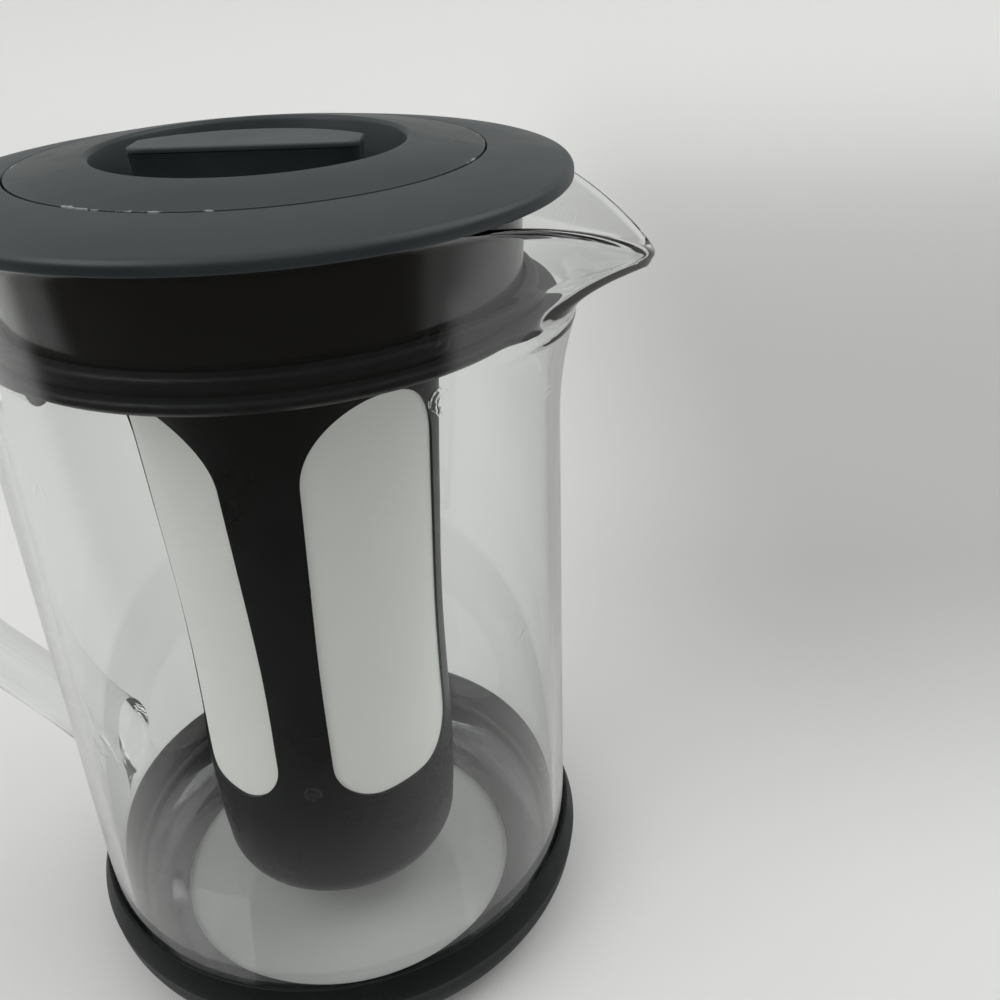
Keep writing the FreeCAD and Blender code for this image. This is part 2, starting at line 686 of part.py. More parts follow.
def main():
    os.makedirs("parts", exist_ok=True)
    glass = make_glass()
    nodes = {
        "carafe_glass": make_carafe_glass(glass),
        "carafe_spout": make_carafe_spout(glass),
        "handle_rod": make_handle_rod(),
        "base_boot": make_base_boot(),
        "lid_ring": make_lid_ring(),
        "lid_collar": make_lid_collar(),
        "collar_seal": make_collar_seal(),
        "core_frame": make_core_frame(),
        "cap_cover": make_cap_cover(),
        "cap_plug": make_cap_plug(),
        "cap_gasket": make_cap_gasket(),
        "grip_bar": make_grip_bar(),
        "grip_cover": make_grip_cover(),
    }
    for i in range(WINDOW_COUNT):
        nodes["mesh_panel_%d" % (i + 1)] = make_mesh_panel(i)
    for name, shape in nodes.items():
        box = shape.BoundBox
        print("%-16s solids %d valid %s volume %.1f  x %.1f..%.1f y %.1f..%.1f z %.1f..%.1f" % (
            name, len(shape.Solids), shape.isValid(), shape.Volume,
            box.XMin, box.XMax, box.YMin, box.YMax, box.ZMin, box.ZMax))
        shape.exportStep("parts/%s.step" % name)


main()
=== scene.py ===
import json
import math

import bpy
from bpy.props import FloatProperty, FloatVectorProperty, IntProperty, PointerProperty
from mathutils import Matrix, Vector

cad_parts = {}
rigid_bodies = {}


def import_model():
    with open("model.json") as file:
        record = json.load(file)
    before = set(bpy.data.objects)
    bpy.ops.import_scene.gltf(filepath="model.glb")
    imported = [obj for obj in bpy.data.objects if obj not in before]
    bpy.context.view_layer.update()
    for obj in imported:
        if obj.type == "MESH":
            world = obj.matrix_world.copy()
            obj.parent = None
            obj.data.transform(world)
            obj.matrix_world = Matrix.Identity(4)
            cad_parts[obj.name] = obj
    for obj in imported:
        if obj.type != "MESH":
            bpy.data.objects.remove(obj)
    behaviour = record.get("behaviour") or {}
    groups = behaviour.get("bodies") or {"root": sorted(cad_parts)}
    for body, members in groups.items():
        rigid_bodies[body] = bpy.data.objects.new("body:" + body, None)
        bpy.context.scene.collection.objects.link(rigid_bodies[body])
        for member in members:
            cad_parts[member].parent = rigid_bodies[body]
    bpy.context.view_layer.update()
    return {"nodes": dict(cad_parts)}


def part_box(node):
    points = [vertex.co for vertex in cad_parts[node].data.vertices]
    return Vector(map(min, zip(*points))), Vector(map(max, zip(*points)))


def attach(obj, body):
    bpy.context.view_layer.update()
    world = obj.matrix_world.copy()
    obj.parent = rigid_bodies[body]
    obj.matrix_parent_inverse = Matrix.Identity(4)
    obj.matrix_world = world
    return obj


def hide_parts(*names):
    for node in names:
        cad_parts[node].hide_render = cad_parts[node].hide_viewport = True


bl_info = {
    "name": "Cold brew coffee maker",
    "version": (1, 0, 0),
    "blender": (4, 5, 0),
    "location": "3D View > Sidebar > Brewer",
    "description": "Glass carafe with a silicone boot, a sealed lid with a turning grip, "
                   "and a hanging mesh brew core",
    "category": "Object",
}

for leftover in list(bpy.data.objects):
    bpy.data.objects.remove(leftover)
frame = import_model()

MM = 0.001
ROUND_SEGMENTS = 192
MERGE = 1e-6

# Boot and lid in millimetres; a point of a profile is (distance from the axis, height)
BOOT_CENTRE = (45.25, 14.0)
BOOT_OUTER_R = 14.0
BOOT_INNER_R = 11.65
BOOT_HOLE_R = 41.8
BOOT_FLOOR_Z = 2.35
BOOT_RIDGE = (59.5, 15.0)
BOOT_TOP = (57.8, 21.0)
BOOT_TOP_IN_R = 56.95
RING_TOP_SLOPE = (43.7, 181.0, 59.1, 178.4)
RING_EDGE = (59.8, 177.5)
RING_UNDER_Z = 175.7
RING_CORE_R = 50.5
LID_SHELL = 2.2
BOWL_FLOOR_Z = 169.5
BOWL_CENTRE = (24.2, 171.9)
BOWL_CORNER_R = 2.4
BOWL_RIM = [(28.8, 182.0), (28.95, 182.45), (29.35, 182.85), (29.8, 183.0)]
CAP_EDGE = (43.4, 181.0)
CAP_UNDER = (31.0, 180.8)
AXIS_R = 0.001

# Collar seal in millimetres: bead, wiping lip, foot
SEAL_PROFILE = [
    (50.1, 158.1), (51.3, 158.1), (51.9, 157.9), (52.3, 157.4), (52.4, 156.8), (52.4, 155.6), (52.2, 155.0),
    (52.0, 154.6), (53.2, 154.3), (53.7, 154.0), (53.88, 153.5), (53.9, 153.0), (53.7, 152.65), (52.2, 151.5),
    (51.4, 151.2), (47.6, 151.2), (47.6, 152.6), (49.2, 152.6),
]

# The lobe of the seal: which points of the lip grow, in metres and degrees, and by how much
LOBE_FROM_R = 0.0531
LOBE_BELOW_Z = 0.1544
LOBE_HALF_ANGLE = 31.0
LOBE_RUN_IN = 7.0
LOBE_GROWTH = 0.0023

# Grip in millimetres: (height, growth of its outline) from the foot's flare to the rounded top
GRIP_ROWS = [
    (169.5, 1.4), (169.9, 1.0), (170.5, 0.35), (171.2, 0.0), (174.0, -0.25), (178.5, -0.35), (182.0, -0.15),
    (182.9, 0.0), (182.95, -0.28), (183.1, -0.28), (183.15, 0.0), (183.6, 0.0), (183.85, -0.1),
    (183.97, -0.35), (184.0, -0.7),
]
GRIP_CORNER = 0.0028

# Spout in millimetres
LEAN = (126.0, 150.0, 3.35, 2.2, 44.0)
KEEL = (158.2, 74.4, 2.2, 5.5)
LIP_GROWTH = (0.45, 1.4)
LIP_ARC = (38.0, 55.0)
BRIM_Z = 175.5

# Handle in metres: ends, reach and bends of the rod, and how it swells at the wall
HANDLE_AZIMUTH = math.radians(174.0)
HANDLE_FOOT = (0.0501, 0.0312)
HANDLE_REACH = 0.098
HANDLE_ELBOW_Z = 0.074
HANDLE_HIGH_Z = 0.138
HANDLE_BENDS = (0.040, 0.026)
HANDLE_STEP = 0.0018
WELD_SWELL = 0.32
WELD_FADE = 0.0045
WELD_PLACE = (0.0548, 0.0345)

# Core in metres: about where its mesh lies
MESH_R = 0.030

# Tones of wear, and a painted dark reflection of the room for the floor's gloss
BARE_PLASTIC = (0.34, 0.35, 0.34)
WATER_MARK = (0.30, 0.30, 0.27)
FAINT_MARK = (0.22, 0.22, 0.20)
DUST = (0.35, 0.35, 0.33)
PAINTED_DARK_REFLECTION = (0.055, 0.050, 0.044)

# Stage in metres
LAMP_SIZE = 1.0
LAMP_AIM = (0, 0, 0.08)
LEFT_LAMP = (-1.0, -0.7, 1.25)
RIGHT_LAMP = (0.95, 0.25, 1.25)

CAMERA_PLACE = (0.05123, -0.20547, 0.21966)
CAMERA_RIGHT = (0.9993, 0.0182, -0.0341)
CAMERA_UP = (0.0210, 0.4836, 0.8750)
CAMERA_LENS = 38.76


class CarafeSettings(bpy.types.PropertyGroup):
    radius: FloatProperty(name="Wall radius", description="Outside radius of the round wall",
                          default=0.05685, unit="LENGTH")
    wall: FloatProperty(name="Wall", description="Thickness of the glass", default=0.0026, unit="LENGTH")
    floor: FloatProperty(name="Floor", description="Thickness of the glass floor", default=0.0028,
                         unit="LENGTH")
    corner: FloatProperty(name="Corner", description="Rounding of the glass at its foot", default=0.0116,
                          unit="LENGTH")
    rod: FloatProperty(name="Handle rod", description="Radius of the handle's glass rod", default=0.00675,
                       unit="LENGTH")
    around: IntProperty(name="Steps around", description="Faces round the carafe", default=240, min=48)
    up: IntProperty(name="Steps up", description="Faces from the lean of the wall to the lip", default=84,
                    min=12)
    tint: FloatVectorProperty(name="Glass tint", description="Colour of the clear glass", subtype="COLOR",
                              default=(0.98, 0.99, 0.985))


class LidSettings(bpy.types.PropertyGroup):
    edge: FloatProperty(name="Edge rounding", description="Rounding of the moulded edges", default=0.0004,
                        unit="LENGTH")
    grip_long: FloatProperty(name="Grip length", description="Length of the grip bar", default=0.0424,
                             unit="LENGTH")
    grip_wide: FloatProperty(name="Grip width", description="Width of the grip bar", default=0.017,
                             unit="LENGTH")
    plastic: FloatVectorProperty(name="Lid plastic", description="Fine matte plastic of the lid",
                                 subtype="COLOR", default=(0.020, 0.0275, 0.0295))
    gloss: FloatVectorProperty(name="Collar plastic", description="Glossy plastic under the lid",
                               subtype="COLOR", default=(0.004, 0.0045, 0.005))
    seal: FloatVectorProperty(name="Seal silicone", description="Satin silicone of the seals",
                              subtype="COLOR", default=(0.009, 0.011, 0.0115))


class CoreSettings(bpy.types.PropertyGroup):
    cage: FloatVectorProperty(name="Cage plastic", description="Satin plastic of the brew core",
                              subtype="COLOR", default=(0.007, 0.0085, 0.009))
    mesh: FloatVectorProperty(name="Filter mesh", description="Fine pale filter mesh", subtype="COLOR",
                              default=(0.86, 0.88, 0.84))
    boot: FloatVectorProperty(name="Boot silicone", description="Matte silicone of the boot",
                              subtype="COLOR", default=(0.005, 0.007, 0.007))


class StageSettings(bpy.types.PropertyGroup):
    floor: FloatVectorProperty(name="Floor", description="Colour of the floor and backdrop", subtype="COLOR",
                               default=(0.80, 0.805, 0.79))
    left_watts: FloatProperty(name="Left lamp", description="Power of the soft lamp on the left", default=6.0)
    right_watts: FloatProperty(name="Right lamp", description="Power of the soft lamp on the right",
                               default=4.6)
    sky: FloatProperty(name="Sky", description="Strength of the room's light", default=0.78)


def deselect_all():
    """Leaves edit mode and selects nothing."""
    if bpy.context.object and bpy.context.object.mode != "OBJECT":
        bpy.ops.object.mode_set(mode="OBJECT")
    bpy.ops.object.select_all(action="DESELECT")


def choose(piece):
    deselect_all()
    piece.select_set(True)
    bpy.context.view_layer.objects.active = piece


def put_in_place(piece):
    """Writes the object's place, turn and size into its mesh."""
    choose(piece)
    bpy.ops.object.transform_apply(location=True, rotation=True, scale=True)


def apply_modifier(piece, kind, name, **values):
    choose(piece)
    modifier = piece.modifiers.new(name, kind)
    for key, value in values.items():
        setattr(modifier, key, value)
    bpy.ops.object.modifier_apply(modifier=modifier.name)


def close_up(piece, turn_out=True):
    """Merges doubled points and turns the faces outwards."""
    choose(piece)
    bpy.ops.object.mode_set(mode="EDIT")
    bpy.ops.mesh.select_all(action="SELECT")
    bpy.ops.mesh.remove_doubles(threshold=MERGE)
    if turn_out:
        bpy.ops.mesh.normals_make_consistent(inside=False)
    bpy.ops.object.mode_set(mode="OBJECT")


def round_edges(piece, width, segments=3, angle=25.0):
    apply_modifier(piece, "BEVEL", "rounded edges", width=width, segments=segments, limit_method="ANGLE",
                   angle_limit=math.radians(angle), harden_normals=False)


def shade_smooth(piece, angle=35.0):
    choose(piece)
    bpy.ops.object.shade_smooth_by_angle(angle=math.radians(angle))


def turned_piece(name, profile, segments=ROUND_SEGMENTS):
    """A ring or dish drawn out of one circle, step by step along a closed profile in millimetres."""
    deselect_all()
    first = profile[0]
    bpy.ops.mesh.primitive_circle_add(vertices=segments, radius=first[0] * MM, location=(0, 0, first[1] * MM))
    piece = bpy.context.object
    piece.name = name
    put_in_place(piece)
    bpy.ops.object.mode_set(mode="EDIT")
    bpy.ops.mesh.select_all(action="SELECT")
    before = first
    for r, z in list(profile[1:]) + [first]:
        lift = (0, 0, (z - before[1]) * MM)
        bpy.ops.mesh.extrude_region_move(TRANSFORM_OT_translate={"value": lift})
        share = r / before[0]
        bpy.ops.transform.resize(value=(share, share, 1), center_override=(0, 0, 0))
        before = (r, z)
    bpy.ops.object.mode_set(mode="OBJECT")
    close_up(piece)
    return piece


def arc_points(centre, radius, start, end, count):
    """Points of an arc in a profile, angles in degrees."""
    points = []
    for i in range(count + 1):
        angle = math.radians(start + (end - start) * i / count)
        points.append((centre[0] + radius * math.cos(angle), centre[1] + radius * math.sin(angle)))
    return points


def carry(piece, body, slot, material, *nodes):
    """Gives a finished piece its body and its material, and hides the CAD nodes that it stands for."""
    piece.data.materials.clear()
    piece.data.materials.append(material)
    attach(piece, body)
    if nodes:
        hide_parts(*nodes)


def dress(node, material):
    """Gives a CAD node that stays its material."""
    mesh = frame["nodes"][node].data
    mesh.materials.clear()
    mesh.materials.append(material)


# Materials


class Tree:
    """Short hand for the nodes of one material or group."""

    def __init__(self, tree):
        self.tree = tree

    def node(self, kind, **values):
        node = self.tree.nodes.new(kind)
        for key, value in values.items():
            setattr(node, key, value)
        return node

    def link(self, source, target):
        self.tree.links.new(source, target)

    def feed(self, node, **inputs):
        for name, value in inputs.items():
            socket = node.inputs[name.replace("_", " ")]
            if isinstance(value, bpy.types.NodeSocket):
                self.link(value, socket)
            else:
                socket.default_value = value
        return node

    def math(self, operation, *inputs):
        node = self.node("ShaderNodeMath", operation=operation)
        for i, value in enumerate(inputs):
            if isinstance(value, bpy.types.NodeSocket):
                self.link(value, node.inputs[i])
            else:
                node.inputs[i].default_value = value
        return node.outputs[0]

    def band(self, value, low, high, to_low=0.0, to_high=1.0):
        """Value mapped smoothly from low..high to to_low..to_high."""
        node = self.node("ShaderNodeMapRange", interpolation_type="SMOOTHSTEP")
        self.link(value, node.inputs["Value"])
        for name, number in (("From Min", low), ("From Max", high), ("To Min", to_low), ("To Max", to_high)):
            if isinstance(number, bpy.types.NodeSocket):
                self.link(number, node.inputs[name])
            else:
                node.inputs[name].default_value = number
        return node.outputs["Result"]

    def noise(self, vector, scale, detail=3.0, roughness=0.5):
        node = self.node("ShaderNodeTexNoise")
        self.link(vector, node.inputs["Vector"])
        node.inputs["Scale"].default_value = scale
        node.inputs["Detail"].default_value = detail
        node.inputs["Roughness"].default_value = roughness
        return node.outputs["Fac"]

    def place(self):
        return self.node("ShaderNodeTexCoord").outputs["Object"]

    def axes(self, vector):
        """X, Y and Z of a vector."""
        node = self.node("ShaderNodeSeparateXYZ")
        self.link(vector, node.inputs["Vector"])
        return node.outputs

    def mix(self, share, first, second):
        node = self.node("ShaderNodeMix", data_type="RGBA")
        for socket, value in ((node.inputs[0], share), (node.inputs[6], first), (node.inputs[7], second)):
            if isinstance(value, bpy.types.NodeSocket):
                self.link(value, socket)
            elif socket.type == "RGBA":
                socket.default_value = tuple(value)[:3] + (1.0,)
            else:
                socket.default_value = value
        return node.outputs[2]

    def bump(self, height, distance, strength=1.0):
        node = self.node("ShaderNodeBump")
        node.inputs["Distance"].default_value = distance
        node.inputs["Strength"].default_value = strength
        self.link(height, node.inputs["Height"])
        return node.outputs["Normal"]


def new_group(name, inputs, outputs):
    """A node group with named sockets; returns its tree, its input node and its output node."""
    group = bpy.data.node_groups.new(name, "ShaderNodeTree")
    for socket, kind, default in inputs:
        made = group.interface.new_socket(name=socket, in_out="INPUT", socket_type=kind)
        if default is not None:
            made.default_value = default
    for socket, kind in outputs:
        group.interface.new_socket(name=socket, in_out="OUTPUT", socket_type=kind)
    tree = Tree(group)
    return tree, tree.node("NodeGroupInput"), tree.node("NodeGroupOutput")


def mould_grain_group():
    """Fine moulded grain and a slow drift of tone."""
    tree, given, out = new_group("Moulded grain", [
        ("Vector", "NodeSocketVector", None),
        ("Grain", "NodeSocketFloat", 2600.0),
        ("Drift", "NodeSocketFloat", 45.0),
    ], [("Height", "NodeSocketFloat"), ("Tone", "NodeSocketFloat")])
    fine = tree.node("ShaderNodeTexNoise")
    tree.feed(fine, Vector=given.outputs["Vector"], Scale=given.outputs["Grain"], Detail=2.0)
    slow = tree.node("ShaderNodeTexNoise")
    tree.feed(slow, Vector=given.outputs["Vector"], Scale=given.outputs["Drift"], Detail=4.0, Roughness=0.6)
    tree.link(fine.outputs["Fac"], out.inputs["Height"])
    tree.link(tree.band(slow.outputs["Fac"], 0.35, 0.65), out.inputs["Tone"])
    return tree.tree


def dried_mark_group():
    """Dried water marks: thin pale rings with a faint middle, in some cells only."""
    tree, given, out = new_group("Dried marks", [
        ("Vector", "NodeSocketVector", None),
        ("Scale", "NodeSocketFloat", 110.0),
        ("Share", "NodeSocketFloat", 0.12),
    ], [("Mask", "NodeSocketFloat")])
    cells = tree.node("ShaderNodeTexVoronoi", feature="F1")
    tree.feed(cells, Vector=given.outputs["Vector"], Scale=given.outputs["Scale"], Randomness=1.0)
    parts = tree.node("ShaderNodeSeparateColor")
    tree.link(cells.outputs["Color"], parts.inputs["Color"])
    picked = tree.math("LESS_THAN", parts.outputs["Red"], given.outputs["Share"])
    size = tree.math("MULTIPLY_ADD", parts.outputs["Green"], 0.16, 0.14)
    away = tree.math("ABSOLUTE", tree.math("SUBTRACT", cells.outputs["Distance"], size))
    ring = tree.band(away, 0.0, 0.035, 1.0, 0.0)
    inside = tree.math("MULTIPLY", tree.math("LESS_THAN", cells.outputs["Distance"], size), 0.22)
    broken = tree.band(tree.noise(given.outputs["Vector"], 700.0), 0.38, 0.6)
    mark = tree.math("MULTIPLY", tree.math("MAXIMUM", ring, inside), tree.math("MULTIPLY", picked, broken))
    tree.link(mark, out.inputs["Mask"])
    return tree.tree


def edge_chip_group():
    """A band along a round edge at a radius and a height, with small rubbed spots on it."""
    tree, given, out = new_group("Round edge band and rubbed spots", [
        ("Vector", "NodeSocketVector", None),
        ("Radius", "NodeSocketFloat", 0.0598),
        ("Height", "NodeSocketFloat", 0.1757),
        ("Width", "NodeSocketFloat", 0.0006),
        ("Amount", "NodeSocketFloat", 0.6),
    ], [("Band", "NodeSocketFloat"), ("Chips", "NodeSocketFloat")])
    axes = tree.axes(given.outputs["Vector"])
    x2 = tree.math("MULTIPLY", axes["X"], axes["X"])
    y2 = tree.math("MULTIPLY", axes["Y"], axes["Y"])
    r = tree.math("SQRT", tree.math("ADD", x2, y2))
    out_by = tree.math("SUBTRACT", r, given.outputs["Radius"])
    up_by = tree.math("SUBTRACT", axes["Z"], given.outputs["Height"])
    far = tree.math("SQRT", tree.math("ADD", tree.math("MULTIPLY", out_by, out_by),
                                      tree.math("MULTIPLY", up_by, up_by)))
    share = tree.math("DIVIDE", far, given.outputs["Width"])
    near = tree.math("SUBTRACT", 1.0, tree.math("MINIMUM", share, 1.0))
    spots = tree.noise(given.outputs["Vector"], 380.0, 4.0, 0.65)
    sparse = tree.band(tree.noise(given.outputs["Vector"], 60.0, 2.0), 0.48, 0.62)
    need = tree.math("SUBTRACT", 1.05, tree.math("MULTIPLY", given.outputs["Amount"], 0.35))
    scattered = tree.math("MULTIPLY", spots, tree.math("ADD", sparse, 0.25))
    found = tree.math("MULTIPLY_ADD", near, 0.22, scattered)
    chips = tree.band(found, need, tree.math("ADD", need, 0.08))
    tree.link(near, out.inputs["Band"])
    tree.link(tree.math("MULTIPLY", chips, tree.math("GREATER_THAN", near, 0.05)), out.inputs["Chips"])
    return tree.tree


def arrow_group():
    """Two small triangles on the cap, at each end of the X axis, pointing outwards."""
    tree, given, out = new_group("Engraved arrows", [
        ("Vector", "NodeSocketVector", None),
    ], [("Mask", "NodeSocketFloat")])
    axes = tree.axes(given.outputs["Vector"])
    along = tree.math("SUBTRACT", 0.0412, tree.math("ABSOLUTE", axes["X"]))
    half = tree.math("MULTIPLY", along, 0.42)
    aside = tree.math("SUBTRACT", half, tree.math("ABSOLUTE", axes["Y"]))
    inside = tree.band(aside, 0.0, 0.00025)
    head = tree.band(along, 0.0, 0.0002)
    foot = tree.band(along, 0.0036, 0.0038, 1.0, 0.0)
    tree.link(tree.math("MULTIPLY", inside, tree.math("MULTIPLY", head, foot)), out.inputs["Mask"])
    return tree.tree


def weave_group():
    """Fine filter mesh: threads up and around, by height and by angle about the axis."""
    tree, given, out = new_group("Filter weave", [
        ("Vector", "NodeSocketVector", None),
        ("Pitch", "NodeSocketFloat", 0.0004),
    ], [("Height", "NodeSocketFloat"), ("Shade", "NodeSocketFloat")])
    axes = tree.axes(given.outputs["Vector"])
    angle = tree.math("ARCTAN2", axes["Y"], axes["X"])
    around = tree.math("MULTIPLY", angle, MESH_R)
    turn = tree.math("DIVIDE", 2 * math.pi, given.outputs["Pitch"])
    up = tree.math("ABSOLUTE", tree.math("SINE", tree.math("MULTIPLY", axes["Z"], turn)))
    across = tree.math("ABSOLUTE", tree.math("SINE", tree.math("MULTIPLY", around, turn)))
    tree.link(tree.math("MAXIMUM", up, across), out.inputs["Height"])
    slow = tree.noise(given.outputs["Vector"], 38.0, 3.0, 0.55)
    tree.link(tree.band(slow, 0.35, 0.65), out.inputs["Shade"])
    return tree.tree


def spot_group():
    """A soft round spot and its rim, about a point."""
    tree, given, out = new_group("Spot at a place", [
        ("Vector", "NodeSocketVector", None),
        ("Centre", "NodeSocketVector", None),
        ("Radius", "NodeSocketFloat", 0.002),
    ], [("Spot", "NodeSocketFloat"), ("Rim", "NodeSocketFloat")])
    wobble = tree.math("MULTIPLY", tree.noise(given.outputs["Vector"], 500.0, 2.0), 0.5)
    away = tree.node("ShaderNodeVectorMath", operation="DISTANCE")
    tree.link(given.outputs["Vector"], away.inputs[0])
    tree.link(given.outputs["Centre"], away.inputs[1])
    share = tree.math("ADD", tree.math("DIVIDE", away.outputs["Value"], given.outputs["Radius"]), wobble)
    tree.link(tree.band(share, 0.9, 1.25, 1.0, 0.0), out.inputs["Spot"])
    rim = tree.math("ABSOLUTE", tree.math("SUBTRACT", share, 1.1))
    tree.link(tree.band(rim, 0.05, 0.3, 1.0, 0.0), out.inputs["Rim"])
    return tree.tree


GROUPS = {}
GROUP_MAKERS = {
    "grain": mould_grain_group,
    "marks": dried_mark_group,
    "chips": edge_chip_group,
    "arrows": arrow_group,
    "weave": weave_group,
    "spot": spot_group,
}


def placed_group(tree, name, **inputs):
    """A group's node in a material; each group is built once."""
    if name not in GROUPS:
        GROUPS[name] = GROUP_MAKERS[name]()
    node = tree.node("ShaderNodeGroup", node_tree=GROUPS[name])
    return tree.feed(node, **inputs)


def new_material(name):
    material = bpy.data.materials.new(name)
    material.use_nodes = True
    material.node_tree.nodes.clear()
    tree = Tree(material.node_tree)
    shader = tree.node("ShaderNodeBsdfPrincipled")
    output = tree.node("ShaderNodeOutputMaterial")
    tree.link(shader.outputs["BSDF"], output.inputs["Surface"])
    return material, tree, shader


def lighter(colour, times):
    return tuple(min(1.0, channel * times) for channel in tuple(colour)[:3])


def lid_plastic(name, colour, radius, height, arrows=False):
    """Fine matte plastic, lighter in a band along a round edge at a radius and height, with rubbed spots on
    that edge.
    """
    material, tree, shader = new_material(name)
    place = tree.place()
    grain = placed_group(tree, "grain", Vector=place, Grain=2200.0, Drift=38.0)
    edge = placed_group(tree, "chips", Vector=place, Radius=radius, Height=height, Width=0.0007, Amount=0.75)
    tone = tree.mix(grain.outputs["Tone"], lighter(colour, 0.9), lighter(colour, 1.18))
    edge_lightened = tree.mix(tree.math("MULTIPLY", edge.outputs["Band"], 0.5), tone, lighter(colour, 1.7))
    worn = tree.mix(edge.outputs["Chips"], edge_lightened, BARE_PLASTIC)
    rough = tree.math("MULTIPLY_ADD", grain.outputs["Tone"], 0.08, 0.40)
    height_map = tree.math("MULTIPLY", grain.outputs["Height"], 0.25)
    if arrows:
        arrow = placed_group(tree, "arrows", Vector=place)
        worn = tree.mix(tree.math("MULTIPLY", arrow.outputs["Mask"], 0.75), worn, lighter(colour, 0.25))
        height_map = tree.math("SUBTRACT", height_map, tree.math("MULTIPLY", arrow.outputs["Mask"], 2.0))
    tree.feed(shader, Base_Color=worn, Roughness=rough, Normal=tree.bump(height_map, 0.00012, 0.5))
    return material


def gloss_plastic(name, colour):
    """Glossy plastic with dried water marks."""
    material, tree, shader = new_material(name)
    place = tree.place()
    grain = placed_group(tree, "grain", Vector=place, Grain=900.0, Drift=30.0)
    marks = placed_group(tree, "marks", Vector=place, Scale=75.0, Share=0.10)
    tone = tree.mix(grain.outputs["Tone"], lighter(colour, 0.8), lighter(colour, 1.5))
    spotted = tree.mix(tree.math("MULTIPLY", marks.outputs["Mask"], 0.55), tone, WATER_MARK)
    rough = tree.math("MULTIPLY_ADD", grain.outputs["Tone"], 0.06, 0.13)
    rough = tree.math("MULTIPLY_ADD", marks.outputs["Mask"], 0.3, rough)
    tree.feed(shader, Base_Color=spotted, Roughness=rough,
              Normal=tree.bump(grain.outputs["Tone"], 0.00003, 0.35))
    return material


def satin_plastic(name, colour):
    """Satin plastic of the cage, with dried water marks down its stiles."""
    material, tree, shader = new_material(name)
    place = tree.place()
    grain = placed_group(tree, "grain", Vector=place, Grain=1500.0, Drift=40.0)
    marks = placed_group(tree, "marks", Vector=place, Scale=120.0, Share=0.16)
    tone = tree.mix(grain.outputs["Tone"], lighter(colour, 0.8), lighter(colour, 1.4))
    spotted = tree.mix(tree.math("MULTIPLY", marks.outputs["Mask"], 0.4), tone, FAINT_MARK)
    rough = tree.math("MULTIPLY_ADD", grain.outputs["Tone"], 0.1, 0.26)
    tree.feed(shader, Base_Color=spotted, Roughness=rough,
              Normal=tree.bump(grain.outputs["Height"], 0.00005, 0.3))
    shader.inputs["Specular IOR Level"].default_value = 0.2
    return material


def silicone(name, colour, roughness, highlight_ridge=None):
    """Silicone with a dusty sheen, and a painted highlight along a ridge when one is given."""
    material, tree, shader = new_material(name)
    place = tree.place()
    grain = placed_group(tree, "grain", Vector=place, Grain=1800.0, Drift=55.0)
    tone = tree.mix(grain.outputs["Tone"], lighter(colour, 0.85), lighter(colour, 1.25))
    if highlight_ridge:
        # Painted highlight: the silicone is three times lighter in a band along the ridge
        edge = placed_group(tree, "chips", Vector=place, Radius=highlight_ridge[0], Height=highlight_ridge[1], Width=0.0011,
                            Amount=0.35)
        tone = tree.mix(tree.math("MULTIPLY", edge.outputs["Band"], 0.45), tone, lighter(colour, 3.0))
    dust = tree.band(tree.noise(place, 900.0, 6.0, 0.75), 0.62, 0.74)
    tone = tree.mix(tree.math("MULTIPLY", dust, 0.14), tone, DUST)
    rough = tree.math("MULTIPLY_ADD", grain.outputs["Tone"], 0.1, roughness)
    tree.feed(shader, Base_Color=tone, Roughness=rough,
              Normal=tree.bump(grain.outputs["Height"], 0.00006, 0.35))
    shader.inputs["Specular IOR Level"].default_value = 0.17
    return material


def filter_mesh(name, colour):
    """Pale woven filter, fine enough to look like a soft translucent sheet, with a painted glow for the light
    through it.
    """
    material, tree, shader = new_material(name)
    weave = placed_group(tree, "weave", Vector=tree.place(), Pitch=0.0005)
    tone = tree.mix(weave.outputs["Shade"], lighter(colour, 0.94), lighter(colour, 1.04))
    thread = tree.mix(tree.math("MULTIPLY", weave.outputs["Height"], 0.18), lighter(colour, 0.85), tone)
    alpha = tree.math("MULTIPLY_ADD", weave.outputs["Height"], 0.06, 0.90)
    tree.feed(shader, Base_Color=thread, Alpha=alpha, Normal=tree.bump(weave.outputs["Height"], 0.00005, 0.3))
    shader.inputs["Roughness"].default_value = 0.75
    # Painted glow: the emission stands in for light passing through the mesh
    shader.inputs["Emission Color"].default_value = tuple(colour)[:3] + (1.0,)
    shader.inputs["Emission Strength"].default_value = 0.19
    return material


def clear_glass(name, tint):
    """Clear glass with faint dried drops, rough where the handle's rod is fused into the wall."""
    material, tree, shader = new_material(name)
    place = tree.place()
    marks = placed_group(tree, "marks", Vector=place, Scale=85.0, Share=0.09)
    weld = placed_group(tree, "spot", Vector=place, Centre=handle_point(*WELD_PLACE), Radius=0.0062)
    pits = tree.noise(place, 900.0, 4.0, 0.7)
    scar = tree.math("MULTIPLY", weld.outputs["Rim"], pits)
    dried = marks.outputs["Mask"]
    rough = tree.math("ADD", tree.math("MULTIPLY", dried, 0.10), tree.math("MULTIPLY", scar, 0.35))
    ripple = tree.noise(place, 22.0, 2.0)
    relief = tree.math("ADD", tree.math("MULTIPLY", ripple, 0.6), tree.math("MULTIPLY", dried, 0.25))
    relief = tree.math("MULTIPLY_ADD", scar, 1.5, relief)
    tree.feed(shader, Roughness=rough, Normal=tree.bump(relief, 0.0002, 0.35))
    shader.inputs["Base Color"].default_value = tuple(tint) + (1.0,)
    shader.inputs["Transmission Weight"].default_value = 1.0
    shader.inputs["IOR"].default_value = 1.47
    shadow = tree.node("ShaderNodeLightPath").outputs["Is Shadow Ray"]
    tree.link(tree.math("MULTIPLY_ADD", shadow, -0.86, 1.0), shader.inputs["Alpha"])
    return material


